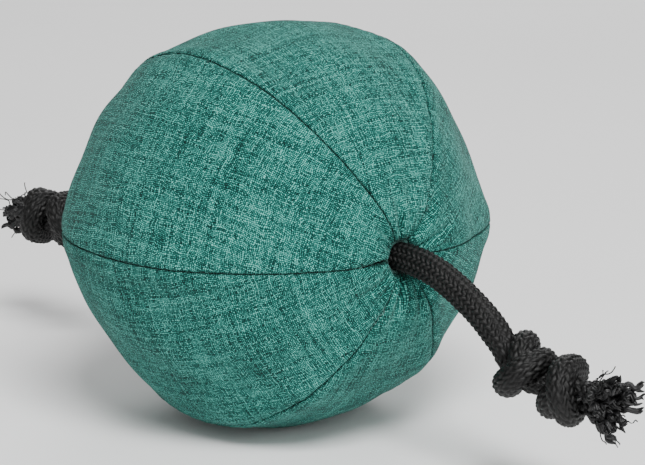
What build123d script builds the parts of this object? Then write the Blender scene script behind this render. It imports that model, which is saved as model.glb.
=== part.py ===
"""Stuffed canvas training ball on a knotted rope.

Six curved gore panels make the ball.  A braided rope runs through it along X, leaves it at a gathered
mouth on each side, bends down under its own weight and ends in two overhand knots and a frayed tuft.
Millimetres, +Z up, +X towards the front rope end.  The origin is on the surface that the ball rests on,
straight below its centre.
"""
from build123d import *
import os
from math import atan2, cos, degrees, radians, sin, tan

os.makedirs("parts", exist_ok=True)

# ---- driving dimensions, in millimetres ----
gore_count = 6
gore_height = 58.9  # from the ball's axis to the middle of a gore
half_length = 59.3  # from the ball's centre to where the unpuckered poles would be
gore_axis_drop = 36.0  # a gore is a strip of a fatter barrel, whose axis lies this far past the ball's
centre_height = 58.0  # of the ball's axis above the floor: the bottom gore is squashed flat by 0.9
fabric = 0.9  # canvas with its backing
seam_allowance = 7.0
dimple_start = 18.0  # radius at which the gores start to turn in to the mouth
mouth_x = 55.8  # where the gores meet the rope
mouth_height = 4.5

rope_diameter = 8.0
core_diameter = 5.0
rope_end_x = 57.0  # end of the stretch that the ball holds
joint_gap = 0.3  # between two stretches of rope that flex against each other

knot_wrap_radius = 5.6  # from the knot's middle to the centre line of the rope wrapped round it
knot_core_radius = 7.8
knot_lean = 28.0  # of each wrap
knot_twist = 20.0
knot_wrap_shift = 2.6
tuft_start = 7.0  # past the outer knot's middle
tuft_radius = 8.0
tuft_flare = 0.55  # share of its length over which the tuft widens
tuft_rounding = 5.0
front_tuft_length = 20.0
rear_tuft_length = 15.0

# Routes of the free rope, (x, height above the ball's axis), from the flex point at the mouth to the neck
# of the inner knot.
front_route = [(61.3, 0.0), (69.4, -1.4), (77.1, -4.2), (84.5, -7.7), (91.5, -12.0), (97.6, -17.5)]
rear_route = [(-61.3, 0.0), (-69.6, -1.1), (-77.5, -3.5), (-85.2, -6.7), (-92.6, -10.6), (-99.4, -15.3)]
# Middle of each knot, (x, height above the ball's axis, lean of the rope through it in degrees below level)
front_knots = {"inner": (103.4, -21.2, 25.0), "outer": (120.6, -23.4, 2.0)}
rear_knots = {"inner": (-105.4, -18.6, 18.0), "outer": (-122.8, -20.6, 3.0)}
flex_run = 2  # the route's run, counted from 0, on whose middle the free rope flexes sideways
corner_share = 0.45  # share of the shorter run that each rounded corner of the route uses up

# ---- worked out from them ----
half_gore = 180 / gore_count
rope_radius = rope_diameter / 2
core_radius = core_diameter / 2
thread_depth = (1.3, 1.9)  # of the lockstitch below the outer surface, top and bottom
thread_reach = 1.1  # of the lockstitch to each side of the seam
filling_gap = 0.3
pocket_radius = 5.6  # clear space behind the mouth, which holds the gathering stitch
gather_thread = 0.55  # radius of the gathering stitch
gather_x = mouth_x - fabric - 2 * gather_thread  # middle of the gathering stitch
pocket_depth = 4 * gather_thread  # of the clear space, to each side of the gathering stitch
far = 2 * gore_height  # long enough to reach out of the ball

ball_axis = Axis((0, 0, centre_height), (1, 0, 0))
seam_plane = Plane((0, 0, centre_height), z_dir=(0, cos(radians(half_gore)), sin(radians(half_gore))))
gore_turns = {
    "gore_top": 0,
    "gore_upper_right": 60,
    "gore_lower_right": 120,
    "gore_bottom": 180,
    "gore_lower_left": 240,
    "gore_upper_left": 300,
}
seam_turns = {
    "seam_thread_top_right": 0,
    "seam_thread_right": 60,
    "seam_thread_bottom_right": 120,
    "seam_thread_bottom_left": 180,
    "seam_thread_left": 240,
    "seam_thread_top_left": 300,
}


def save(part, name):
    """Label a finished piece and write it to its own file."""
    part.label = name
    export_step(part, f"parts/{name}.step")


def dimple_x(inset):
    """Where the barrel's outline reaches the dimple's radius, for an outline moved in by inset."""
    share = (dimple_start - inset) / (gore_height - inset)
    return (half_length - inset) * (1 - share**2) ** 0.5


def barrel_outline(inset):
    """Half of a gore's barrel, seen from the side, moved in by inset: a closed outline for a revolve."""
    rim_x = mouth_x - inset
    rim_z = centre_height + mouth_height
    shoulder_x = dimple_x(inset)
    shoulder = dimple_start - inset
    angle = degrees(atan2(shoulder / (gore_height - inset), shoulder_x / (half_length - inset)))
    with BuildSketch(Plane.XZ) as outline:
        with BuildLine():
            crown = EllipticalCenterArc(
                center=(0, centre_height),
                x_radius=half_length - inset,
                y_radius=gore_height - inset,
                start_angle=angle,
                arc_size=180 - 2 * angle,
            )
            front = TangentArc(crown @ 0, (rim_x, rim_z), tangent=-(crown % 0), tangent_from_first=True)
            rear = TangentArc(crown @ 1, (-rim_x, rim_z), tangent=crown % 1, tangent_from_first=True)
            Polyline(
                front @ 1,
                (rim_x, centre_height - gore_axis_drop),
                (-rim_x, centre_height - gore_axis_drop),
                rear @ 1,
            )
        make_face()
    return outline.sketch


def gore_block(inset, side_inset):
    """The top sixth of the ball as a solid, its outside moved in by inset and its sides by side_inset."""
    tip = centre_height + side_inset / sin(radians(half_gore))
    half_width = far * tan(radians(half_gore))
    with BuildPart() as block:
        add(barrel_outline(inset))
        revolve(axis=Axis((0, 0, centre_height - gore_axis_drop), (1, 0, 0)), revolution_arc=360)
        with BuildSketch(Plane.YZ.offset(-far)):
            with BuildLine():
                Polyline((0, tip), (half_width, tip + far), (-half_width, tip + far), close=True)
            make_face()
        extrude(amount=2 * far, mode=Mode.INTERSECT)
    return block.part


# ---- gore panels ----
with BuildPart() as top_gore:
    add(gore_block(0, 0))
    add(gore_block(fabric, fabric), mode=Mode.SUBTRACT)
    add(gore_block(fabric + seam_allowance, 0), mode=Mode.SUBTRACT)
    with BuildSketch(Plane.YZ.offset(-far)):
        with Locations((0, centre_height)):
            Circle(rope_radius)
    extrude(amount=2 * far, mode=Mode.SUBTRACT)
    with BuildSketch(Plane.YZ.offset(-(mouth_x - fabric))):
        with Locations((0, centre_height)):
            Circle(pocket_radius)
    extrude(amount=2 * (mouth_x - fabric), mode=Mode.SUBTRACT)

# Where the ball's weight presses the bottom gore flat, the cloth is still one fabric thick
with BuildPart() as sole:
    add(gore_block(0, 0).rotate(ball_axis, gore_turns["gore_bottom"]))
    split(bisect_by=Plane.XY.offset(fabric), keep=Keep.BOTTOM)

for name, turn in gore_turns.items():
    with BuildPart() as panel:
        add(top_gore.part.rotate(ball_axis, turn))
        if name == "gore_bottom":
            add(sole.part)
            split(bisect_by=Plane.XY, keep=Keep.TOP)
    save(panel.part, name)

# ---- seam threads: a lockstitch line through both allowances, just under the seam ----
with BuildPart() as top_seam_thread:
    add(gore_block(thread_depth[0], 0))
    add(gore_block(thread_depth[1], 0), mode=Mode.SUBTRACT)
    split(bisect_by=seam_plane.offset(thread_reach), keep=Keep.BOTTOM)
    mirror(about=seam_plane)
    with BuildSketch(Plane.YZ.offset(-far)):
        with Locations((0, centre_height)):
            Circle(pocket_radius)
    extrude(amount=2 * far, mode=Mode.SUBTRACT)

for name, turn in seam_turns.items():
    with BuildPart() as seam_thread:
        add(top_seam_thread.part.rotate(ball_axis, turn))
    save(seam_thread.part, name)

# ---- gathering stitches: a ring of thread behind each mouth, drawn tight on the rope ----
for name, x in {"front_gather_stitch": gather_x, "rear_gather_stitch": -gather_x}.items():
    with BuildPart() as gather_stitch:
        with BuildSketch(Plane.XZ):
            with Locations((x, centre_height + rope_radius + gather_thread)):
                Circle(gather_thread)
        revolve(axis=ball_axis)
    save(gather_stitch.part, name)

# ---- fibre filling, with slots for the seam allowances and a bore for the rope ----
with BuildPart() as filling:
    slot_half_width = thread_reach + filling_gap
    core_inset = fabric + seam_allowance + filling_gap
    for turn in gore_turns.values():
        add(gore_block(fabric, slot_half_width).rotate(ball_axis, turn))
    for turn in gore_turns.values():
        add(gore_block(core_inset, 0).rotate(ball_axis, turn))
    with BuildSketch(Plane.YZ.offset(-far)):
        with Locations((0, centre_height)):
            Circle(rope_radius + filling_gap)
    extrude(amount=2 * far, mode=Mode.SUBTRACT)
    for end_plane in (Plane.YZ.offset(gather_x), Plane.YZ.offset(-gather_x)):
        with BuildSketch(end_plane):
            with Locations((0, centre_height)):
                Circle(pocket_radius)
        extrude(amount=pocket_depth, both=True, mode=Mode.SUBTRACT)
    split(bisect_by=Plane.XY.offset(fabric), keep=Keep.TOP)
save(filling.part, "fibre_filling")

# ---- rope inside the ball ----
with BuildPart() as cover_inside:
    with BuildSketch(Plane.YZ.offset(-rope_end_x)):
        with Locations((0, centre_height)):
            Circle(rope_radius)
            Circle(core_radius, mode=Mode.SUBTRACT)
    extrude(amount=2 * rope_end_x)
save(cover_inside.part, "rope_cover_inside")

with BuildPart() as core_inside:
    with BuildSketch(Plane.YZ.offset(-rope_end_x)):
        with Locations((0, centre_height)):
            Circle(core_radius)
    extrude(amount=2 * rope_end_x)
save(core_inside.part, "rope_core_inside")


# ---- free rope ends ----
def above_axis(point):
    """A route point as a vector in the part's frame."""
    return Vector(point[0], 0, centre_height + point[1])


def corner_radii(points):
    """The radius at which each corner's arc uses up corner_share of its shorter run."""
    radii = []
    for before, corner, after in zip(points, points[1:], points[2:]):
        run_in = corner - before
        run_out = after - corner
        half_turn = radians(run_in.get_angle(run_out)) / 2
        radii.append(corner_share * min(run_in.length, run_out.length) / tan(half_turn))
    return radii


def rope_path(points):
    """The free rope's centre line: straight runs joined by tangent arcs."""
    with BuildLine() as path:
        FilletPolyline(*points, radius=corner_radii(points))
    return path


def stretch(path, start, start_direction, outer, inner=0.0):
    """The rope's cover, or its core where inner is 0, swept along the whole free path."""
    with BuildPart() as swept:
        add(path)
        with BuildSketch(Plane(start, z_dir=start_direction)):
            Circle(outer)
            if inner:
                Circle(inner, mode=Mode.SUBTRACT)
        sweep()
    return swept.part


def place_on_rope(shape, middle, lean, side):
    """Turn a shape made along +X to the rope's lean, point it to the front (side 1) or rear, and move it."""
    turned = shape if side > 0 else shape.rotate(Axis.Z, 180)
    return turned.rotate(Axis.Y, side * lean).translate(above_axis(middle))


def overhand_knot():
    """An overhand knot's outer shape: two wraps that lean opposite ways round a core."""
    with BuildPart() as lump:
        Sphere(knot_core_radius)
        for side in (1, -1):
            place = (side * knot_wrap_shift, 0, 0)
            turns = (side * knot_twist, 90 + side * knot_lean, 0)
            with Locations(Location(place, turns)):
                Torus(knot_wrap_radius, rope_radius)
    return lump.part


def frayed_end(length):
    """A tuft's outer shape: a cone that opens away from the knot and ends rounded."""
    with BuildPart() as tuft:
        with BuildSketch(Plane.XZ) as side_view:
            with BuildLine():
                Polyline(
                    (0, 0),
                    (0, rope_radius),
                    (tuft_flare * length, tuft_radius),
                    (length, tuft_radius),
                    (length, 0),
                    close=True,
                )
            make_face()
            fillet(side_view.vertices().group_by(Axis.X)[-1].sort_by(Axis.Y)[-1], tuft_rounding)
        revolve(axis=Axis.X)
    return tuft.part


def make_rope_end(end, side, route, knots, tuft_length):
    """All the pieces of one free rope end."""
    points = [above_axis(point) for point in route]
    path = rope_path(points)
    mouth_flex = points[0]
    mouth_direction = (points[1] - points[0]).normalized()
    side_direction = (points[flex_run + 1] - points[flex_run]).normalized()
    side_flex = (points[flex_run] + points[flex_run + 1]) / 2
    near_stop = Plane(side_flex - side_direction * (rope_radius + joint_gap), z_dir=side_direction)
    near_core_start = Plane(mouth_flex + mouth_direction * rope_radius, z_dir=mouth_direction)
    far_core_start = Plane(side_flex + side_direction * rope_radius, z_dir=side_direction)
    cover = stretch(path, mouth_flex, mouth_direction, rope_radius, core_radius)
    core = stretch(path, mouth_flex, mouth_direction, core_radius)

    with BuildPart() as near_cover:
        add(cover)
        split(bisect_by=near_stop, keep=Keep.BOTTOM)
        with Locations(Plane(mouth_flex, z_dir=mouth_direction)):
            Sphere(rope_radius)
    save(near_cover.part, f"{end}_rope_cover_near_half")

    with BuildPart() as near_core:
        add(core)
        split(bisect_by=near_stop, keep=Keep.BOTTOM)
        split(bisect_by=near_core_start, keep=Keep.TOP)
    save(near_core.part, f"{end}_rope_core_near_half")

    with BuildPart() as far_cover:
        add(cover)
        split(bisect_by=Plane(side_flex, z_dir=side_direction), keep=Keep.TOP)
        with Locations(Plane(side_flex, z_dir=side_direction)):
            Sphere(rope_radius)
    save(far_cover.part, f"{end}_rope_cover_far_half")

    with BuildPart() as far_core:
        add(core)
        split(bisect_by=far_core_start, keep=Keep.TOP)
    save(far_core.part, f"{end}_rope_core_far_half")

    for which, (x, height, lean) in knots.items():
        with BuildPart() as tied:
            add(place_on_rope(overhand_knot(), (x, height), lean, side))
        save(tied.part, f"{end}_{which}_knot")

    x, height, lean = knots["outer"]
    with BuildPart() as tuft:
        add(place_on_rope(frayed_end(tuft_length), (x + side * tuft_start, height), lean, side))
    save(tuft.part, f"{end}_frayed_end")


make_rope_end("front", 1, front_route, front_knots, front_tuft_length)
make_rope_end("rear", -1, rear_route, rear_knots, rear_tuft_length)
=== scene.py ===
"""Stuffed canvas training ball on a knotted rope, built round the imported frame.

The ball is six canvas gores whose edges roll into the seams, with lockstitch and fibre filling inside.
The rope is a braided tube that follows one smooth line from inside the ball, through two overhand knots
that a small rope simulation pulls tight, to a frayed tuft.  Everything is in metres, in the frame's axes:
+X towards the front rope end, +Z up, the ball's centre straight above the origin.
"""
import math

import bpy
import numpy as np
from mathutils import Matrix, Vector


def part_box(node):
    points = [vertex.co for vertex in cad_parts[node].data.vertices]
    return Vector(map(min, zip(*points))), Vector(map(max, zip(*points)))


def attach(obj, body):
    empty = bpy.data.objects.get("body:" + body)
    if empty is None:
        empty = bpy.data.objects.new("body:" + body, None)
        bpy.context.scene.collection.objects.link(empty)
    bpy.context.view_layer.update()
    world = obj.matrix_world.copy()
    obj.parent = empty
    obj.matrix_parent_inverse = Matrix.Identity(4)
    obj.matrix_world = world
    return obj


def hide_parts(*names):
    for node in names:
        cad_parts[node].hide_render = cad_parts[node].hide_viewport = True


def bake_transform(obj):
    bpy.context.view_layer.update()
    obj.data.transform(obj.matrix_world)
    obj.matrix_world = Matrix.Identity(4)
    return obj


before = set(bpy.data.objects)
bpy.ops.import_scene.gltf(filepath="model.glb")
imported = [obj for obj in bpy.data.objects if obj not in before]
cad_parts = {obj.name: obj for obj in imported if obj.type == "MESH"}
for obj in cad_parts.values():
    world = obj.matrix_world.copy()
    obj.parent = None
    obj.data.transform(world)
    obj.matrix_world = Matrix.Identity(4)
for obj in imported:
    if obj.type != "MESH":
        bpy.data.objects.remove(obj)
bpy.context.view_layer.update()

MM = 0.001

# ---- sizes, read from the frame or repeated from the part ----
core_low, core_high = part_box("rope_core_inside")
_, gore_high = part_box("gore_top")
CENTRE_Z = (core_low[2] + core_high[2]) / 2
GORE_HEIGHT = gore_high[2] - CENTRE_Z
HALF_LENGTH = 59.3 * MM
GORE_AXIS_DROP = 36 * MM
DIMPLE_START = 18 * MM
THROAT_X = 53.5 * MM
ROPE_RADIUS = 4 * MM
THROAT_HEIGHT = ROPE_RADIUS + 0.2 * MM
DIMPLE_LEAD = 7.5 * MM  # how far the gore's curve runs on before it dips into the mouth
THROAT_LEAD = np.array([4.6, 0.4]) * MM  # where the curve comes from at the throat: along and out
FABRIC = 0.6 * MM
SEAM_ALLOWANCE = 6.5 * MM
SEAM_ROLL = 0.85 * MM
SEAM_SHADE = 1.0 * MM  # painted shade: the cloth is darker this far from a seam, in the fold where it turns in
GORE_TURNS = {
    "gore_top": 0,
    "gore_upper_right": 60,
    "gore_lower_right": 120,
    "gore_bottom": 180,
    "gore_lower_left": 240,
    "gore_upper_left": 300,
}
SEAM_TURNS = {
    "seam_thread_top_right": 30,
    "seam_thread_right": 90,
    "seam_thread_bottom_right": 150,
    "seam_thread_bottom_left": 210,
    "seam_thread_left": 270,
    "seam_thread_top_left": 330,
}


# ---- small helpers ----
def smooth_step(low, high, value):
    """0 below low, 1 above high, smooth between."""
    t = np.clip((value - low) / (high - low), 0, 1)
    return t * t * (3 - 2 * t)


def unit(vectors):
    """The vectors, each scaled to a length of 1."""
    return vectors / np.maximum(np.linalg.norm(vectors, axis=-1, keepdims=True), 1e-12)


def distance_along(line):
    """How far along a line of points each of them is."""
    return np.concatenate([[0], np.cumsum(np.linalg.norm(np.diff(line, axis=0), axis=1))])


def resample(line, count):
    """The same line as count points, evenly spaced."""
    along = distance_along(line)
    wanted = np.linspace(0, along[-1], count)
    return np.stack([np.interp(wanted, along, line[:, k]) for k in range(line.shape[1])], 1)


def even_line(line, step):
    """The same line as points about a step apart."""
    return resample(line, max(int(distance_along(line)[-1] / step), 2) + 1)


def turn_about_rope(points, degrees):
    """Points given round the ball's axis, turned about +X and raised to the ball's centre."""
    c, s = math.cos(math.radians(degrees)), math.sin(math.radians(degrees))
    turned = np.empty_like(points)
    turned[..., 0] = points[..., 0]
    turned[..., 1] = points[..., 1] * c - points[..., 2] * s
    turned[..., 2] = points[..., 1] * s + points[..., 2] * c + CENTRE_Z
    return turned


def new_mesh(name, vertices, faces, material, body=None, uvs=None, smooth=True, shade=None):
    """A mesh object from arrays; uvs has a pair and shade a number for each vertex."""
    vertices, faces = np.asarray(vertices, float), np.asarray(faces)
    a, b, c, d = (vertices[faces[:, k]] - [0, 0, CENTRE_Z] for k in range(4))
    if np.sum(a * (np.cross(b, c) + np.cross(c, d))) < 0:  # the faces look inwards
        faces = faces[:, ::-1]
    mesh = bpy.data.meshes.new(name)
    mesh.from_pydata(vertices.tolist(), [], faces.tolist())
    if uvs is not None:
        layer = mesh.uv_layers.new(name="cloth")
        corner_vertices = np.empty(len(mesh.loops), int)
        mesh.loops.foreach_get("vertex_index", corner_vertices)
        layer.data.foreach_set("uv", np.asarray(uvs, float)[corner_vertices].ravel())
    if shade is not None:
        brightness = mesh.attributes.new("shade", "FLOAT", "POINT")
        brightness.data.foreach_set("value", np.asarray(shade, float).ravel())
    mesh.polygons.foreach_set("use_smooth", [smooth] * len(mesh.polygons))
    mesh.materials.append(material)
    mesh.update()
    obj = bpy.data.objects.new(name, mesh)
    bpy.context.scene.collection.objects.link(obj)
    if body:
        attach(obj, body)
    return obj


def grid_faces(rows, columns, wrap=False):
    """Quads of a grid of rows by columns, closed round its columns where wrap is set."""
    i, j = np.meshgrid(np.arange(rows - 1), np.arange(columns if wrap else columns - 1), indexing="ij")
    k = (j + 1) % columns
    quads = np.stack([i * columns + j, i * columns + k, (i + 1) * columns + k, (i + 1) * columns + j], -1)
    return quads.reshape(-1, 4)


# ---- materials ----
class Nodes:
    """Short calls for building a material's node tree."""

    def __init__(self, name):
        self.material = bpy.data.materials.new(name)
        self.material.use_nodes = True
        self.tree = self.material.node_tree
        self.shader = self.tree.nodes["Principled BSDF"]

    def new(self, kind, **settings):
        node = self.tree.nodes.new(kind)
        for key, value in settings.items():
            setattr(node, key, value)
        return node

    def link(self, source, target):
        self.tree.links.new(source, target)

    def math(self, operation, a, b=None, clamp=False):
        node = self.new("ShaderNodeMath", operation=operation, use_clamp=clamp)
        for socket, value in zip(node.inputs, (a, b)):
            if value is None:
                continue
            if isinstance(value, (int, float)):
                socket.default_value = value
            else:
                self.link(value, socket)
        return node.outputs[0]

    def vector(self, x, y, z=0.0):
        node = self.new("ShaderNodeCombineXYZ")
        for socket, value in zip(node.inputs, (x, y, z)):
            if isinstance(value, (int, float)):
                socket.default_value = value
            else:
                self.link(value, socket)
        return node.outputs[0]

    def noise(self, vector, scale=1.0, detail=2.0, roughness=0.5):
        node = self.new("ShaderNodeTexNoise")
        node.inputs["Scale"].default_value = scale
        node.inputs["Detail"].default_value = detail
        node.inputs["Roughness"].default_value = roughness
        self.link(vector, node.inputs["Vector"])
        return node.outputs["Fac"]

    def mix(self, factor, a, b):
        """a where factor is 0, b where it is 1."""
        node = self.new("ShaderNodeMix", data_type="FLOAT")
        for socket, value in zip((node.inputs[0], node.inputs[2], node.inputs[3]), (factor, a, b)):
            if isinstance(value, (int, float)):
                socket.default_value = value
            else:
                self.link(value, socket)
        return node.outputs[0]

    def ramp(self, value, stops):
        node = self.new("ShaderNodeValToRGB")
        elements = node.color_ramp.elements
        while len(elements) < len(stops):
            elements.new(0.5)
        for element, (position, color) in zip(elements, stops):
            element.position = position
            element.color = (*color, 1)
        self.link(value, node.inputs[0])
        return node.outputs[0]

    def bump(self, height, distance, strength=1.0):
        node = self.new("ShaderNodeBump")
        node.inputs["Distance"].default_value = distance
        node.inputs["Strength"].default_value = strength
        self.link(height, node.inputs["Height"])
        self.link(node.outputs[0], self.shader.inputs["Normal"])

    def set(self, **values):
        for name, value in values.items():
            self.shader.inputs[name.replace("_", " ")].default_value = value


def canvas_material():
    """Plain-weave melange canvas, with painted shade in the weave's hollows, in the seams' folds and at the
    throats.  Its UVs are millimetres across and along each gore.
    """
    n = Nodes("canvas")
    pitch = 0.50  # millimetres from thread to thread
    wander = 2.2  # millimetres by which the threads stray from straight
    uv = n.new("ShaderNodeUVMap", uv_map="cloth").outputs[0]
    split = n.new("ShaderNodeSeparateXYZ")
    n.link(uv, split.inputs[0])
    u, v = split.outputs[0], split.outputs[1]
    wobble_u, wobble_v = (
        n.math("MULTIPLY", n.math("SUBTRACT", n.noise(n.vector(u, v, seed), 0.22, 2), 0.5), wander)
        for seed in (3.0, 9.0)
    )
    u = n.math("ADD", u, wobble_u)
    v = n.math("ADD", v, wobble_v)
    across, along = n.math("DIVIDE", u, pitch), n.math("DIVIDE", v, pitch)
    warp, weft = n.math("FLOOR", across), n.math("FLOOR", along)
    weft_on_top = n.math("MODULO", n.math("ABSOLUTE", n.math("ADD", warp, weft)), 2.0)

    def hump(position):
        offset = n.math("SUBTRACT", n.math("MULTIPLY", n.math("FRACT", position), 2.0), 1.0)
        return n.math("SUBTRACT", 1.0, n.math("MULTIPLY", offset, offset))

    def yarn_tone(index, distance, seed):
        """How light a yarn is: its own shade, flecks a few millimetres long, and long slubs."""

        def drawn_out(spread, change, place, detail, roughness=0.5):
            """Noise that differs from yarn to yarn and changes slowly along each."""
            point = n.vector(n.math("MULTIPLY", index, spread), n.math("MULTIPLY", distance, change), place)
            return n.noise(point, 1.0, detail, roughness)

        own = n.new("ShaderNodeTexWhiteNoise", noise_dimensions="2D")
        n.link(n.vector(index, seed), own.inputs["Vector"])
        fleck = drawn_out(7.31, 0.75, seed, 3, 0.65)
        slub = drawn_out(1.37, 0.055, seed + 5, 1)
        tone = n.math("ADD", n.math("MULTIPLY", own.outputs["Value"], 0.16), n.math("MULTIPLY", fleck, 0.85))
        return n.math("ADD", tone, n.math("MULTIPLY", n.math("SUBTRACT", slub, 0.5), 0.9))

    tone = n.mix(weft_on_top, yarn_tone(warp, v, 1.5), yarn_tone(weft, u, 4.5))
    crossing = n.new("ShaderNodeTexWhiteNoise", noise_dimensions="2D")
    n.link(n.vector(warp, weft), crossing.inputs["Vector"])
    tone = n.math("ADD", tone, n.math("MULTIPLY", crossing.outputs["Value"], 0.26))
    cloudy = n.noise(n.vector(u, v, 0.0), 0.06, 3)
    tone = n.math("ADD", tone, n.math("MULTIPLY", n.math("SUBTRACT", cloudy, 0.5), 0.2))
    side = n.mix(weft_on_top, hump(across), hump(along))
    crown = n.mix(weft_on_top, hump(along), hump(across))
    crown = n.math("ADD", n.math("MULTIPLY", crown, 0.75), 0.25)
    height = n.math("MULTIPLY", n.math("POWER", side, 0.6), crown)
    # painted shade: the weave's hollows darker and its crowns lighter, by the height of the yarns
    tone = n.math("ADD", tone, n.math("MULTIPLY", n.math("SUBTRACT", height, 0.60), 0.8))
    color = n.ramp(
        tone,
        [
            (0.22, (0.0003, 0.007, 0.0065)),
            (0.48, (0.0012, 0.036, 0.030)),
            (0.70, (0.006, 0.105, 0.086)),
            (0.88, (0.042, 0.275, 0.226)),
            (1.0, (0.115, 0.410, 0.345)),
        ],
    )
    # painted shade: the shade attribute darkens the colour to 0.16 in the seams' folds and at the throats
    darken = n.new("ShaderNodeMix", data_type="RGBA", blend_type="MULTIPLY")
    darken.inputs[0].default_value = 1.0
    n.link(color, darken.inputs[6])
    shade = n.new("ShaderNodeAttribute", attribute_name="shade").outputs["Fac"]
    n.link(n.ramp(shade, [(0.0, (0.16, 0.16, 0.16)), (1.0, (1, 1, 1))]), darken.inputs[7])
    n.link(darken.outputs[2], n.shader.inputs["Base Color"])
    n.set(Roughness=0.86, Sheen_Weight=0.06, Sheen_Roughness=0.4, Specular_IOR_Level=0.15)
    n.shader.inputs["Sheen Tint"].default_value = (0.75, 0.9, 0.88, 1)
    n.bump(height, 0.16 * MM, 0.8)
    return n.material


def thread_material(name, color):
    """Twisted polyester sewing thread, with painted highlights on the ridges of its twist."""
    n = Nodes(name)
    place = n.new("ShaderNodeTexCoord").outputs["Object"]
    twist = n.new("ShaderNodeTexWave", bands_direction="DIAGONAL")
    twist.inputs["Scale"].default_value = 900
    n.link(place, twist.inputs["Vector"])
    # painted highlight on the ridges of the twist and painted shade in its grooves: the colour runs up to
    # 2.2 times as light along the twist
    light = tuple(min(1, 2.2 * c + 0.01) for c in color)
    n.link(n.ramp(twist.outputs["Fac"], [(0.2, color), (0.9, light)]), n.shader.inputs["Base Color"])
    n.set(Roughness=0.6, Sheen_Weight=0.2)
    n.bump(twist.outputs["Fac"], 0.05 * MM)
    return n.material


def rope_material():
    """Black braid: fine filaments run along each yarn, with painted shade at each yarn's edges.  Its UVs are
    yarn numbers of the two directions.
    """
    n = Nodes("rope")
    uv = n.new("ShaderNodeUVMap", uv_map="cloth").outputs[0]
    split = n.new("ShaderNodeSeparateXYZ")
    n.link(uv, split.inputs[0])
    left, right = split.outputs[0], split.outputs[1]
    crossing = n.math("ADD", n.math("FLOOR", left), n.math("FLOOR", right))
    over = n.math("LESS_THAN", n.math("MODULO", crossing, 4.0), 2.0)

    def filaments(width, run, seed):
        """Fine streaks across a yarn's width, drawn out along its run."""
        point = n.vector(n.math("MULTIPLY", width, 14.0), n.math("MULTIPLY", run, 1.1), seed)
        return n.noise(point, 1.0, 2)

    filament = n.mix(over, filaments(right, left, 8.0), filaments(left, right, 2.0))
    place = n.new("ShaderNodeTexCoord").outputs["Object"]
    dust = n.noise(place, 160.0, 3)
    across = n.math("SUBTRACT", n.math("MULTIPLY", n.math("FRACT", n.mix(over, right, left)), 2.0), 1.0)
    # painted shade: each yarn darker towards its edges, where it dips under its neighbours
    edge = n.math("POWER", n.math("ABSOLUTE", across), 3.0)
    tone = n.math("ADD", n.math("MULTIPLY", filament, 0.75), n.math("MULTIPLY", dust, 0.3))
    tone = n.math("SUBTRACT", tone, n.math("MULTIPLY", edge, 0.35))
    color = n.ramp(
        tone,
        [
            (0.2, (0.0003, 0.0003, 0.0003)),
            (0.5, (0.0025, 0.0025, 0.0025)),
            (0.8, (0.022, 0.022, 0.021)),
        ],
    )
    n.link(color, n.shader.inputs["Base Color"])
    n.set(Roughness=0.5, Specular_IOR_Level=0.25)
    n.bump(filament, 0.08 * MM, 0.8)
    return n.material


def yarn_material():
    """Loose black filament yarn, a little shiny, with melted glossy places."""
    n = Nodes("frayed_yarn")
    place = n.new("ShaderNodeTexCoord").outputs["Object"]
    stretch = n.new("ShaderNodeMapping")
    stretch.inputs["Scale"].default_value = (300, 1500, 1500)
    n.link(place, stretch.inputs["Vector"])
    fibre = n.noise(stretch.outputs[0], 1.0, 3, 0.6)
    melted = n.noise(place, 220.0, 2)
    color = n.ramp(
        fibre,
        [
            (0.3, (0.004, 0.004, 0.005)),
            (0.6, (0.008, 0.008, 0.008)),
            (0.85, (0.032, 0.032, 0.034)),
        ],
    )
    n.link(color, n.shader.inputs["Base Color"])
    n.link(n.mix(n.math("MULTIPLY", melted, 1.0, clamp=True), 0.62, 0.28), n.shader.inputs["Roughness"])
    n.set(Specular_IOR_Level=0.35)
    n.bump(fibre, 0.12 * MM)
    return n.material


def filling_material():
    """Loose white polyester fibre."""
    n = Nodes("filling")
    place = n.new("ShaderNodeTexCoord").outputs["Object"]
    tufts = n.noise(place, 260.0, 5, 0.65)
    color = n.ramp(tufts, [(0.3, (0.62, 0.62, 0.60)), (0.7, (0.90, 0.90, 0.88))])
    n.link(color, n.shader.inputs["Base Color"])
    n.set(Roughness=0.95, Sheen_Weight=0.4)
    n.bump(tufts, 0.8 * MM)
    return n.material


CANVAS = canvas_material()
THREAD = thread_material("seam_thread", (0.010, 0.060, 0.050))
ROPE = rope_material()
YARN = yarn_material()
FILLING = filling_material()
CORE = thread_material("rope_core", (0.10, 0.10, 0.10))


# ---- the ball ----
def centre_line(count):
    """A gore's middle line from the rear throat to the front one, at evenly spaced stations.

    Gives x, the height above the ball's axis and the distance along the line.
    """
    edge = math.asin(DIMPLE_START / GORE_HEIGHT)
    angles = np.linspace(edge, math.pi / 2, 600)
    x = HALF_LENGTH * np.cos(angles)
    height = GORE_HEIGHT * np.sin(angles)
    start = np.array([x[0], height[0]])
    tangent = unit(np.array([HALF_LENGTH * math.sin(edge), -GORE_HEIGHT * math.cos(edge)]))
    throat = np.array([THROAT_X, THROAT_HEIGHT])
    handles = [start, start + DIMPLE_LEAD * tangent, throat + THROAT_LEAD, throat]
    t = np.linspace(0, 1, 300)[:, None]
    dimple = (
        (1 - t) ** 3 * handles[0]
        + 3 * (1 - t) ** 2 * t * handles[1]
        + 3 * (1 - t) * t**2 * handles[2]
        + t**3 * handles[3]
    )
    half = np.concatenate([dimple[::-1], np.stack([x, height], 1)[1:]])
    whole = np.concatenate([half, (half * [-1, 1])[::-1][1:]])[::-1]
    x, height = resample(whole, count).T
    return x, height, np.linspace(0, distance_along(whole)[-1], count)


def seam_radius(height):
    """Distance of the seam from the ball's axis where the gore's middle is at this height."""
    d = GORE_AXIS_DROP
    return (-math.sqrt(3) * d + np.sqrt(3 * d * d + 4 * (height**2 + 2 * height * d))) / 2


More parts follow.
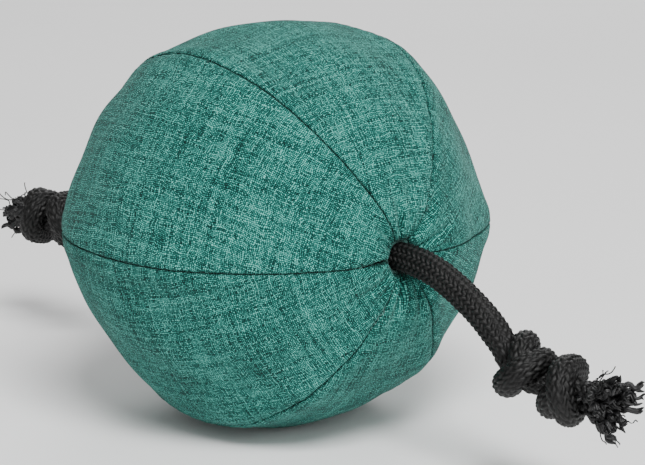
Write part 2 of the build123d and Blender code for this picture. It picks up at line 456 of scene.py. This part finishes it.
# Soft dents (negative) and bulges of the stuffing: direction from the centre, millimetres out, radians wide
STUFFING = [
    ((-0.57, -0.40, 0.72), -1.4, 0.24),
    ((-0.57, -0.78, -0.25), 1.0, 0.28),
    ((0.29, 0.63, 0.72), 0.8, 0.24),
    ((-0.39, -0.12, 0.91), -1.5, 0.38),
    ((0.10, 0.47, 0.88), -1.1, 0.25),
    ((0.39, 0.70, 0.60), 1.1, 0.30),
    ((0.66, 0.72, -0.20), 0.9, 0.25),
    ((0.57, 0.40, -0.72), -1.4, 0.35),
    ((-0.35, -0.67, -0.65), -1.0, 0.30),
    ((0.55, -0.65, -0.50), -0.8, 0.40),
    ((0.10, -0.50, 0.86), -0.5, 0.40),
    ((-0.20, 0.80, -0.50), 0.9, 0.45),
    ((-0.75, 0.30, -0.55), -0.9, 0.40),
]
SETTLED = 0.10 * MM  # how far the cloth has sunk all over as the fibre packed down
RIPPLE = 0.35 * MM  # low waves all over
CREASE = 0.42 * MM  # the folds that run into each mouth
SEAM_LIFT = 0.42 * MM  # by the seam allowance underneath
PUCKER = 0.11 * MM  # between stitches
PUCKER_PITCH = 5.3 * MM


def relief(points, arc_from_seam):
    """How far the cloth stands out from the plain ball at points (round the ball's axis), in metres."""
    direction = unit(points)
    out = np.full(points.shape[:-1], -SETTLED)
    for middle, height, width in STUFFING:
        angle = np.arccos(np.clip(direction @ unit(np.array(middle)), -1, 1))
        out += height * MM * np.exp(-((angle / width) ** 2))
    x, y, z = (points[..., k] / MM for k in range(3))
    waves = np.sin(0.17 * x + 1.1) * np.sin(0.15 * y + 0.21 * z + 0.4)
    out += RIPPLE * (waves + np.sin(0.13 * z - 0.19 * y + 0.08 * x))
    radius = np.hypot(points[..., 1], points[..., 2])
    around = np.arctan2(points[..., 2], points[..., 1])
    side = np.sign(points[..., 0])
    near_mouth = 1 - smooth_step(7 * MM, 27 * MM, radius)
    near_mouth *= smooth_step(30 * MM, 45 * MM, np.abs(points[..., 0]))
    folds = (
        np.sin(9 * around + 1.3 * side + 55 * radius)
        + 0.8 * np.sin(14 * around - 0.7 * side - 90 * radius)
        + 0.6 * np.sin(23 * around + 2.1 * side)
    )
    creased = np.where(folds > 0, folds, 1.5 * folds)
    out += CREASE * near_mouth * creased * smooth_step(3.5 * MM, 6.5 * MM, radius)
    # the seam allowance underneath lifts the cloth beside a seam, and the stitches pucker it
    beside = np.exp(-(((arc_from_seam - 3.2 * MM) / (2.6 * MM)) ** 2))
    out += SEAM_LIFT * beside * smooth_step(10 * MM, 25 * MM, radius)
    stitches = 2 * math.pi * points[..., 0] / PUCKER_PITCH
    pucker = np.sin(stitches + 3 * np.sin(60 * points[..., 0]) + 2 * around)
    out += PUCKER * pucker * np.exp(-arc_from_seam / (3.0 * MM)) * smooth_step(8 * MM, 20 * MM, radius)
    return out * smooth_step(4.2 * MM, 7 * MM, radius)


def rest_on_floor(points, thickness=0.0):
    """Flattens what would sink below the floor, with a soft edge."""
    soft = 0.25 * MM
    z = points[..., 2] - thickness
    points[..., 2] = thickness + soft * np.logaddexp(0, z / soft)
    return points


ROLL_STEPS = 6  # points round each rolled edge, and down each allowance
SEAM_GAP = 0.05 * MM  # between an allowance and the seam's own plane


def gore_surface(stations, columns):
    """The top gore with both its turned-in edges, about the ball's axis.

    Gives its points, which way is out at each, the cloth UVs and the distance from the seam.
    """
    x, height, arc = centre_line(stations)
    barrel = height + GORE_AXIS_DROP
    seam = seam_radius(height)
    seam_angle = np.arctan2(seam * 0.5, seam * math.sqrt(0.75) + GORE_AXIS_DROP)
    half_width = barrel * seam_angle
    mouth = 1 - smooth_step(8 * MM, 26 * MM, seam)
    roll = np.minimum(SEAM_ROLL * (1 + 0.7 * mouth), 0.35 * half_width)
    surface = np.linspace(-1, 1, columns)
    depths = np.linspace(1, 0, ROLL_STEPS + 1)[:-1]
    bends = np.linspace(0, 90, ROLL_STEPS + 1)[:-1]
    rows_points, rows_uv, rows_out, rows_edge = [], [], [], []

    def on_barrel(offset):
        angle = offset / barrel
        return np.stack([x, barrel * np.sin(angle), barrel * np.cos(angle) - GORE_AXIS_DROP], 1)

    tangent_x = np.gradient(x, arc)
    tangent_h = np.gradient(height, arc)
    for side in (-1, 1):
        seam_out = np.array([0, side * 0.5, math.sqrt(0.75)])
        plane_normal = np.array([0, -side * math.sqrt(0.75), 0.5])
        seam_point = np.outer(seam, seam_out)
        seam_point[:, 0] = x
        inward = unit(np.outer(tangent_h, [1.0, 0, 0]) - np.outer(tangent_x, seam_out))
        lateral = np.stack([0 * x, -side * np.cos(seam_angle), np.sin(seam_angle)], 1)
        block_points, block_uv, block_edge = [], [], []
        deepest = np.minimum(SEAM_ALLOWANCE, 0.55 * seam)  # less near the throat, where seams meet
        for depth in depths:
            deep = roll + (deepest - roll) * depth
            block_points.append(seam_point + inward * deep[:, None] + SEAM_GAP * plane_normal)
            block_uv.append(half_width + deep)
            block_edge.append(0 * x)
        for bend in bends:
            aside = roll * (1 - math.cos(math.radians(bend)))
            deep = roll * (1 - math.sin(math.radians(bend)))
            block_points.append(
                seam_point + lateral * aside[:, None] + inward * deep[:, None] + SEAM_GAP * plane_normal
            )
            block_uv.append(half_width - roll + roll * math.radians(90 - bend))
            block_edge.append(roll * bend / 90)
        count = len(block_points)
        order = range(count) if side < 0 else reversed(range(count))
        seam_outs = np.tile(seam_out, (stations, 1))
        blocks = [(block_points[k], side * block_uv[k], seam_outs, block_edge[k]) for k in order]
        middle = []
        if side < 0:
            for s in surface:
                offset = s * (half_width - roll)
                angle = offset / barrel
                out = np.stack([0 * x, np.sin(angle), np.cos(angle)], 1)
                middle.append((on_barrel(offset), offset, out, half_width - np.abs(offset)))
        for points, uv, out, edge in blocks + middle:
            rows_points.append(points)
            rows_uv.append(uv)
            rows_out.append(out)
            rows_edge.append(edge)
    points = np.stack(rows_points, 1)
    uv = np.stack([np.stack(rows_uv, 1), np.repeat(arc[:, None], points.shape[1], 1)], -1)
    edge = np.stack(rows_edge, 1)
    out = np.stack(rows_out, 1)
    # tip the outward direction along X by the slope of the gore's middle line
    slope = np.stack([-tangent_h, 0 * x, 0 * x], 1)[:, None, :]
    outward = unit(out * tangent_x[:, None, None] + slope)
    outward *= np.sign(np.sum(outward * points, -1, keepdims=True) + 1e-12)
    return points, outward, uv, edge


def make_gores():
    """The six gores: the top one turned about the rope, its relief different at each place."""
    stations, columns = ((360, 110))
    points, outward, uv, edge = gore_surface(stations, columns)
    faces = grid_faces(stations, points.shape[1])
    for number, (name, turn) in enumerate(GORE_TURNS.items()):
        turned = turn_about_rope(points, turn) - [0, 0, CENTRE_Z]
        direction = turn_about_rope(outward, turn) - [0, 0, CENTRE_Z]
        lifted = turned + direction * relief(turned, edge)[..., None] + [0, 0, CENTRE_Z]
        lifted = rest_on_floor(lifted)
        # each gore is cut from another part of the cloth
        cloth_uv = uv.reshape(-1, 2) / MM + [37.7 * number + 100, 53.3 * number + 100]
        from_rope = np.hypot(points[..., 1], points[..., 2])
        # painted shade: darker in the fold beside each seam, and at the throat where the rope goes in
        shade = smooth_step(0, 1, (edge + 0.15 * MM) / SEAM_SHADE)
        shade = shade * smooth_step(3.8 * MM, 7 * MM, from_rope)
        lifted = lifted.reshape(-1, 3)
        gore = new_mesh(name + "_canvas", lifted, faces, CANVAS, "ball", cloth_uv, shade=shade)
        thickness = gore.modifiers.new("cloth_thickness", "SOLIDIFY")
        thickness.thickness = FABRIC
        thickness.offset = -1
        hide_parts(name)


make_gores()


# ---- tubes ----
def tube_rings(centres, radii, sides, twist=0.0, up=(0, 0, 1)):
    """Rings of points round a line of centres, carried along it without twisting.

    radii is one number, one for each ring, or one for each point of each ring.
    """
    centres = np.asarray(centres)
    tangents = unit(np.gradient(centres, axis=0))
    side = unit(np.cross(np.array(up, float) + [0.013, 0.007, 0], tangents[0]))
    carried = []
    for tangent in tangents:
        side = unit(side - tangent * np.dot(side, tangent))
        carried.append(side)
    side = np.array(carried)
    other = np.cross(tangents, side)
    around = np.linspace(0, 2 * math.pi, sides, endpoint=False)[None, :, None] + twist
    radii = np.asarray(radii)
    if radii.ndim == 1:
        radii = radii[:, None]
    direction = side[:, None, :] * np.cos(around) + other[:, None, :] * np.sin(around)
    return centres[:, None, :] + direction * radii[..., None]


# ---- the rope ----
ROPE_DIAMETER = 2 * ROPE_RADIUS
BRAID_YARNS = 16
BRAID_PITCH = 1.87 * MM
BRAID_HEIGHT = 0.78 * MM
MOUTH_X = 57 * MM
LINE_START_X = 52.5 * MM
PIECE_JOIN_X = 72 * MM
KNOT_TAIL = 6.3 * MM
KNOT_ROPE = 0.92  # share of the rope's thickness left where the knot squeezes it
SQUEEZE_X = (92 * MM, 98 * MM)  # where that sets in


def tighten_overhand(nodes=68, steps=1500, shrink=0.996, relaxations=45, reach=4.2, soft=0.74, bend=0.45):
    """The middle line of an overhand knot pulled tight, along +Z about its own middle.

    It starts as a loose trefoil with its ends held, and the rope is drawn out a little at each step.
    Rope on rope keeps soft times a diameter apart, and the rope bends no tighter than it can.
    """
    d = ROPE_DIAMETER
    t = np.linspace(-2, 2, 400)
    loose = np.stack([t**3 - 3 * t, t**4 - 4 * t**2 + 2, 0.3 * (t**5 - 10 * t)], 1) * 1.05 * d
    ends = np.array([[0, 0, -reach * d], [0, 0, reach * d]])
    loose = np.concatenate([ends[:1], loose, ends[1:]])
    points = resample(loose, nodes)
    link = distance_along(loose)[-1] / (nodes - 1)
    apart = np.abs(np.arange(nodes)[:, None] - np.arange(nodes)[None, :])
    for _ in range(steps):
        link *= shrink
        touching = apart * link > 1.35 * d  # closer along the rope than this can't touch
        sag_limit = link * link / (2 * bend * d)
        for _ in range(relaxations):
            sag = (points[:-2] + points[2:]) / 2 - points[1:-1]
            size = np.linalg.norm(sag, axis=1, keepdims=True)
            points[1:-1] += sag * np.clip((size - sag_limit) / np.maximum(size, 1e-9), 0, 1) * 0.5
            gap = points[:, None, :] - points[None, :, :]
            distance = np.sqrt((gap * gap).sum(2))
            overlap = (soft * d - distance) / np.maximum(distance, 1e-9)
            push = np.where(touching & (distance < soft * d), overlap, 0)
            crowd = np.maximum((push > 0).sum(1), 1)
            points += 0.5 * (push[:, :, None] * gap).sum(1) / np.sqrt(crowd)[:, None]
            for parity in (0, 1):
                i = np.arange(parity, nodes - 1, 2)
                span = points[i + 1] - points[i]
                length = np.linalg.norm(span, axis=1, keepdims=True)
                change = 0.5 * (length - link) / length * span
                points[i] += change
                points[i + 1] -= change
            points[0], points[-1] = ends
        stretched = np.linalg.norm(np.diff(points, axis=0), axis=1).mean() / link
        if stretched > 1.08:  # nothing is left to draw out
            break
    in_knot = np.hypot(points[:, 0], points[:, 1]) > 0.4 * d
    middle = (points[in_knot].min(0) + points[in_knot].max(0)) / 2
    points -= middle
    first, last = np.flatnonzero(np.abs(points[:, 2]) < KNOT_TAIL)[[0, -1]]
    return points[first : last + 1]


KNOT = tighten_overhand()


def place_knot(side, x, height, lean, turn, mirror, squeeze):
    """The tight knot about (x, height) in the rope's plane, its line leaning down away from the ball."""
    lean, turn = math.radians(lean), math.radians(turn)
    points = KNOT * squeeze
    if mirror:
        points[:, 0] *= -1
    c, s = math.cos(turn), math.sin(turn)
    wide, deep, onward = points.T
    points = np.stack([wide * c - deep * s, wide * s + deep * c, onward], 1)
    along = np.array([side * math.cos(lean), 0, -math.sin(lean)])
    up = np.array([side * math.sin(lean), 0, math.cos(lean)])
    across = np.cross(up, along)
    placed = points[:, :1] * across + points[:, 1:2] * up + points[:, 2:] * along
    return placed + [x * MM, 0, height * MM + CENTRE_Z]


def smooth_line(name, control_points):
    """Points along the smooth spline through the control points, close together and evenly spaced."""
    curve = bpy.data.curves.new(name, "CURVE")
    curve.dimensions = "3D"
    spline = curve.splines.new("NURBS")
    spline.points.add(len(control_points) - 1)
    for point, place in zip(spline.points, control_points):
        point.co = (*place, 1)
    spline.order_u = 3
    spline.use_endpoint_u = True
    spline.resolution_u = 12
    holder = bpy.data.objects.new(name, curve)
    bpy.context.scene.collection.objects.link(holder)
    mesh = bpy.data.meshes.new_from_object(holder)
    line = np.array([v.co for v in mesh.vertices])
    bpy.data.meshes.remove(mesh)
    bpy.data.objects.remove(holder)
    bpy.data.curves.remove(curve)
    return line


def braid(line):
    """Rings of a braided tube along a line, and the yarn numbers of both directions at every point.

    Each yarn passes over two of the other direction and under two, as in most braided rope.
    """
    sides = 96
    along = distance_along(line)[:, None]
    around = np.linspace(0, 1, sides, endpoint=False)[None, :]
    left = BRAID_YARNS * around + along / BRAID_PITCH
    right = BRAID_YARNS * around - along / BRAID_PITCH + 1000
    i, j = np.floor(left), np.floor(right)
    left_over = (i + j) % 4 < 2
    run = np.where(left_over, (i + right) % 4 / 2, (left + j) % 4 / 2 - 1)
    run = np.clip(run, 0, 1)
    across = np.where(left_over, left - i, right - j)
    height = np.sqrt(np.clip(1 - (2 * across - 1) ** 2, 0, 1)) * (0.35 + 0.65 * np.sin(math.pi * run))
    squeezed = 1 - (1 - KNOT_ROPE) * smooth_step(*SQUEEZE_X, np.abs(line[:, :1]))
    radius = (ROPE_RADIUS - 0.5 * MM + BRAID_HEIGHT * height) * squeezed
    rings = tube_rings(line, radius, sides, up=(0, 1, 0))
    return rings, np.stack([left, right], -1)


def tube_mesh(name, rings, uv, body=None):
    """A rope mesh round rings.  Quads that close the ring count its yarns on, not back to the start."""
    rows, columns = rings.shape[:2]
    obj = new_mesh(name, rings.reshape(-1, 3), grid_faces(rows, columns, wrap=True), ROPE, body)
    layer = obj.data.uv_layers.new(name="cloth")
    corner_vertices = np.empty(len(obj.data.loops), int)
    obj.data.loops.foreach_get("vertex_index", corner_vertices)
    corner_uv = uv.reshape(-1, 2)[corner_vertices]
    corner_column = (corner_vertices % columns).reshape(-1, 4)
    wraps = (corner_column.max(1) == columns - 1) & (corner_column.min(1) == 0)
    at_start = (corner_column == 0) & wraps[:, None]
    corner_uv[at_start.ravel()] += BRAID_YARNS
    layer.data.foreach_set("uv", corner_uv.ravel())
    return obj


FRONT_ROUTE = [(61.3, 0.0), (69.4, -1.4), (77.1, -4.2), (84.5, -7.7), (91.5, -12.0), (97.6, -17.5)]
REAR_ROUTE = [(-61.3, 0.0), (-69.6, -1.1), (-77.5, -3.5), (-85.2, -6.7), (-92.6, -10.6), (-99.4, -15.3)]
ENDS = {
    "front": {
        "side": 1,
        "route": FRONT_ROUTE,
        "knots": [(103.2, -21.2, 25.0, 145, False, 1.0), (119.8, -23.2, 2.0, 345, True, 1.0)],
        "tuft": 17.5,
        "seed": 3,
    },
    "rear": {
        "side": -1,
        "route": REAR_ROUTE,
        "knots": [(-104.4, -17.8, 18.0, 0, True, 0.93), (-119.6, -19.6, 3.0, 195, False, 0.93)],
        "tuft": 11.0,
        "seed": 8,
    },
}
STRAY_YARNS = 14
BUNDLE_POINTS = 30  # along the middle line of each bundle
STRAY_POINTS = 26
FILAMENT_RADII = (0.55 * MM, 0.42 * MM)  # at a bundle's root and its tip
STRAY_RADIUS = 0.17 * MM
TUFT_START = 8.2 * MM  # past the outer knot's middle


def make_rope_end(end, plan):
    """One free end: the rope that bends at the mouth, the knotted rope and the tuft."""
    side = plan["side"]
    control = [(side * LINE_START_X, 0, CENTRE_Z), (side * MOUTH_X, 0, CENTRE_Z)]
    control += [(x * MM, 0, CENTRE_Z + height * MM) for x, height in plan["route"]]
    for x, height, lean, turn, mirror, squeeze in plan["knots"]:
        control += [tuple(p) for p in place_knot(side, x, height, lean, turn, mirror, squeeze)]
    x, height, lean = plan["knots"][-1][:3]
    away = np.array([side * math.cos(math.radians(lean)), 0, -math.sin(math.radians(lean))])
    rope_end = np.array([x * MM, 0, CENTRE_Z + height * MM]) + away * TUFT_START
    control.append(tuple(rope_end))
    spacing = 0.26 * MM
    line = even_line(smooth_line(end + "_rope_line", control), spacing)
    rings, uv = braid(line)
    join = int(np.argmin(np.abs(line[:, 0] - side * PIECE_JOIN_X)))
    mouth = tube_mesh(end + "_rope_at_mouth", rings[: join + 1], uv[: join + 1])
    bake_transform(mouth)
    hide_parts(end + "_rope_cover_near_half", end + "_rope_core_near_half")
    knotted = tube_mesh(end + "_knotted_rope", rings[join:], uv[join:])
    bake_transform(knotted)
    replaced = ["rope_cover_far_half", "rope_core_far_half", "inner_knot", "outer_knot"]
    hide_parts(*[f"{end}_{piece}" for piece in replaced])
    tuft = make_tuft(end, rope_end, away, plan["tuft"] * MM, plan["seed"])


def make_tuft(end, root, away, length, seed):
    """Yarns of the unbraided rope end: crimped bundles of filaments, and finer stray ones."""
    chance = np.random.default_rng(seed)
    across = unit(np.cross(away, [0, 0, 1.0]))
    up = np.cross(across, away)
    points, faces = [], []

    def add_tube(line, radius, sides):
        rings = tube_rings(line, radius, sides)
        base = sum(len(p) for p in points)
        points.append(rings.reshape(-1, 3))
        faces.append(grid_faces(len(line), sides, wrap=True) + base)

    def yarn_line(flare, reach, crimp, wave, count):
        """One yarn's middle line from the rope's end outwards."""
        spin = chance.uniform(0, 2 * math.pi)
        start_radius = ROPE_RADIUS * 0.82 * math.sqrt(chance.uniform(0.02, 1))
        t = np.linspace(0, 1, count)
        radial = across * math.cos(spin) + up * math.sin(spin)
        turn = across * -math.sin(spin) + up * math.cos(spin)
        s = t * reach
        out = start_radius + flare * reach * t**1.3 * (0.4 + 0.6 * start_radius / ROPE_RADIUS)
        curl = chance.uniform(-0.35, 0.35) * reach * t**2
        phase = chance.uniform(0, 2 * math.pi, 2)
        fade = smooth_step(0, 0.25, t)
        crimp_a = crimp * fade * np.sin(2 * math.pi * s / wave + phase[0])
        crimp_b = crimp * fade * np.sin(2 * math.pi * s / (wave * 1.27) + phase[1])
        forward = s * (1 - 0.25 * flare * t) - 2.5 * MM
        line = root + np.outer(forward, away)
        line = line + np.outer(out + crimp_a, radial) + np.outer(curl + crimp_b, turn)
        line[:, 2] += 0.04 * reach * t**2  # stiff yarns stand up a little
        return line

    bundles, strands = ((44, 5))
    for _ in range(bundles):
        reach = length * chance.uniform(0.62, 1.08)
        flare = chance.uniform(0.05, 0.6)
        wave = chance.uniform(2.6, 4.2) * MM
        middle = yarn_line(flare, reach, 0.5 * MM, wave, BUNDLE_POINTS)
        spread = np.linspace(0.30, chance.uniform(0.3, 1.0), BUNDLE_POINTS) * MM
        offsets = tube_rings(middle, spread, strands, twist=chance.uniform(0, 6))
        for k in range(strands):
            rows = np.arange(BUNDLE_POINTS)
            swirl = (k + rows * 0.12) % strands
            low = np.floor(swirl).astype(int)
            part = (swirl - low)[:, None]
            line = offsets[rows, low] * (1 - part) + offsets[rows, (low + 1) % strands] * part
            cut = int(chance.uniform(BUNDLE_POINTS - 6, BUNDLE_POINTS))
            radius = np.linspace(*FILAMENT_RADII, BUNDLE_POINTS)[:cut]
            radius[-2:] *= [0.8, 0.35]
            add_tube(line[:cut], radius, 6)
    for _ in range(STRAY_YARNS):
        reach = length * chance.uniform(0.6, 1.12)
        flare = chance.uniform(0.2, 1.0)
        crimp = chance.uniform(0.3, 1.0) * MM
        wave = chance.uniform(3, 6) * MM
        add_tube(yarn_line(flare, reach, crimp, wave, STRAY_POINTS), STRAY_RADIUS, 4)
    points, faces = np.concatenate(points), np.concatenate(faces)
    tuft = new_mesh(end + "_tuft", points, faces, YARN, end + "_rope_far_half")
    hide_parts(end + "_frayed_end")
    return tuft


def make_inside_rope():
    """The stretch of rope that runs through the ball."""
    line = even_line(np.array([[-LINE_START_X, 0, CENTRE_Z], [LINE_START_X, 0, CENTRE_Z]]), 0.5 * MM)
    rings, uv = braid(line)
    inside = tube_mesh("rope_through_ball", rings, uv, "ball")
    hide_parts("rope_cover_inside")


make_inside_rope()
for end, plan in ENDS.items():
    make_rope_end(end, plan)


# ---- inside the ball: lockstitch and filling ----
STITCH = 3.0 * MM
STITCH_REACH = 0.6 * MM
STITCH_DEPTH = 3.0 * MM
STITCH_RADIUS = 0.2 * MM
STITCH_LOWEST = 1.2 * MM  # keeps the thread off the cloth that rests on the floor
POINTS_PER_STITCH = 10
STITCHED_FROM = 18 * MM  # nearer the axis than this, the gathered mouth leaves a seam no room for it
FILLING_GAP = 1.5 * MM
FILLING_LENGTH = 0.88  # of the ball's own length, so that none shows at the mouths


def make_lockstitch():
    """A thread that weaves from one seam allowance to the other just under each seam."""
    x, height, _ = centre_line(900)
    seam = seam_radius(height)
    clear = seam > STITCHED_FROM
    radius = seam[clear] - STITCH_DEPTH
    line = even_line(np.stack([x[clear], 0 * radius, radius], 1), STITCH / POINTS_PER_STITCH)
    along = np.arange(len(line)) * STITCH / POINTS_PER_STITCH
    line[:, 1] = STITCH_REACH * np.sin(2 * math.pi * along / STITCH)
    rings = tube_rings(line, STITCH_RADIUS, 6)
    for name, turn in SEAM_TURNS.items():
        points = (turn_about_rope(rings, turn) - [0, 0, CENTRE_Z]).reshape(-1, 3)
        outwards = unit(points * [0, 1, 1])
        points += outwards * relief(points, 0 * points[:, 0])[:, None] + [0, 0, CENTRE_Z]
        points[:, 2] = np.maximum(points[:, 2], STITCH_LOWEST)
        thread = new_mesh(name + "_lockstitch", points, grid_faces(len(line), 6, wrap=True), THREAD, "ball")
        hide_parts(name)


def make_filling():
    """Lumpy fibre with slots where the seam allowances press into it."""
    stations, columns = 160, 288
    x, height, _ = centre_line(stations)
    gap = FILLING_GAP + 4 * MM * (1 - smooth_step(8 * MM, 30 * MM, height))
    inner = np.maximum(height - gap, ROPE_RADIUS + 0.5 * MM)
    x, barrel = x[:, None], (inner + GORE_AXIS_DROP)[:, None]
    around = np.linspace(0, 2 * math.pi, columns, endpoint=False)[None, :]
    sixth = math.pi / 3
    from_middle = np.abs((around + sixth / 2) % sixth - sixth / 2)
    across = GORE_AXIS_DROP * np.sin(from_middle)
    radius = np.sqrt(barrel**2 - across**2) - GORE_AXIS_DROP * np.cos(from_middle)
    from_seam = radius * np.sin(sixth / 2 - from_middle)
    slot = np.minimum(SEAM_ALLOWANCE, 0.5 * (radius - ROPE_RADIUS))
    lumps = np.sin(31 * around + 210 * x) * np.sin(190 * x - 17 * around)
    radius = radius - slot * np.exp(-((from_seam / (1.3 * MM)) ** 2)) - 0.35 * MM * (1 + lumps)
    radius = np.maximum(radius, ROPE_RADIUS + 0.4 * MM)
    along = np.repeat(x * FILLING_LENGTH, columns, 1)
    points = np.stack([along, radius * np.sin(around), radius * np.cos(around)], -1)
    points = rest_on_floor(points + [0, 0, CENTRE_Z], FABRIC + 0.6 * MM).reshape(-1, 3)
    filling = new_mesh("stuffing", points, grid_faces(stations, columns, wrap=True), FILLING, "ball")
    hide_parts("fibre_filling")


def cad_finish(name):
    """The material of a CAD node, told from its name."""
    if "rope" in name or "knot" in name:
        return CORE if "core" in name else ROPE
    if "filling" in name:
        return FILLING
    if "stitch" in name or "thread" in name:
        return THREAD
    return YARN if "frayed" in name else CANVAS


make_lockstitch()
make_filling()
for name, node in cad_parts.items():
    node.data.materials.clear()
    node.data.materials.append(cad_finish(name))


# ---- floor, light and camera ----
FLOOR_HALF_SIDE = 3.0
FLOOR_DROP = 0.02 * MM  # keeps the floor clear of the cloth that rests on it
WORLD_STRENGTH = 0.38
LIGHTS = [  # name, place, side of the square light, watts
    ("key", (0.85, -0.45, 1.25), 0.6, 33),
    ("fill", (1.3, -0.2, 0.5), 0.9, 9),
    ("back", (-0.7, 0.9, 0.9), 0.8, 8),
]


def make_stage():
    """A matt white floor and an even white surround."""
    material = Nodes("floor")
    place = material.new("ShaderNodeTexCoord").outputs["Object"]
    mottle = material.noise(place, 3.0, 2)
    color = material.ramp(mottle, [(0.3, (0.86, 0.86, 0.86)), (0.7, (0.90, 0.90, 0.90))])
    material.link(color, material.shader.inputs["Base Color"])
    material.set(Roughness=0.9)
    size = FLOOR_HALF_SIDE
    corners = [(-size, -size, 0), (size, -size, 0), (size, size, 0), (-size, size, 0)]
    floor = new_mesh("floor", corners, [(0, 1, 2, 3)], material.material, smooth=False)
    floor.location.z = -FLOOR_DROP
    world = bpy.data.worlds.new("studio")
    world.use_nodes = True
    background = world.node_tree.nodes["Background"]
    background.inputs["Color"].default_value = (1, 1, 1, 1)
    background.inputs["Strength"].default_value = WORLD_STRENGTH
    bpy.context.scene.world = world


def area_light(name, place, size, power):
    """A square light at a place, turned to the ball's centre."""
    light = bpy.data.lights.new(name, "AREA")
    light.energy = power
    light.size = size
    obj = bpy.data.objects.new(name, light)
    obj.location = place
    towards = Vector((0, 0, CENTRE_Z)) - Vector(place)
    obj.rotation_euler = towards.to_track_quat("-Z", "Y").to_euler()
    bpy.context.scene.collection.objects.link(obj)


AZIMUTH, ELEVATION, ROLL = 50.24, 13.89, -0.54  # degrees
DISTANCE = 0.865  # from the point aimed at
AIM_RIGHT, AIM_DOWN = 13.56 * MM, 3.04 * MM
PIXELS_PER_METRE = 3451.8  # the picture's scale at that point
FRAME_WIDTH = 645
SENSOR = 36.0  # millimetres, as is the lens


def make_camera():
    """A long lens turned AZIMUTH degrees from -Y towards +X, aimed a little right of the ball."""
    azimuth, elevation, roll = (math.radians(a) for a in (AZIMUTH, ELEVATION, ROLL))
    flat = math.cos(elevation)
    back = Vector((math.sin(azimuth) * flat, -math.cos(azimuth) * flat, math.sin(elevation)))
    level = Vector((math.cos(azimuth), math.sin(azimuth), 0))
    rise = back.cross(level)
    right = math.cos(roll) * level + math.sin(roll) * rise
    up = -math.sin(roll) * level + math.cos(roll) * rise
    target = Vector((0, 0, CENTRE_Z)) + AIM_RIGHT * right - AIM_DOWN * up
    data = bpy.data.cameras.new("camera")
    data.sensor_width = SENSOR
    data.lens = PIXELS_PER_METRE * DISTANCE / FRAME_WIDTH * SENSOR
    data.clip_start = 0.01
    camera = bpy.data.objects.new("camera", data)
    rotation = Matrix((right, up, back)).transposed()
    camera.matrix_world = Matrix.Translation(target + back * DISTANCE) @ rotation.to_4x4()
    bpy.context.scene.collection.objects.link(camera)
    bpy.context.scene.camera = camera


make_stage()
for name, place, size, power in LIGHTS:
    area_light(name, place, size, power)
make_camera()
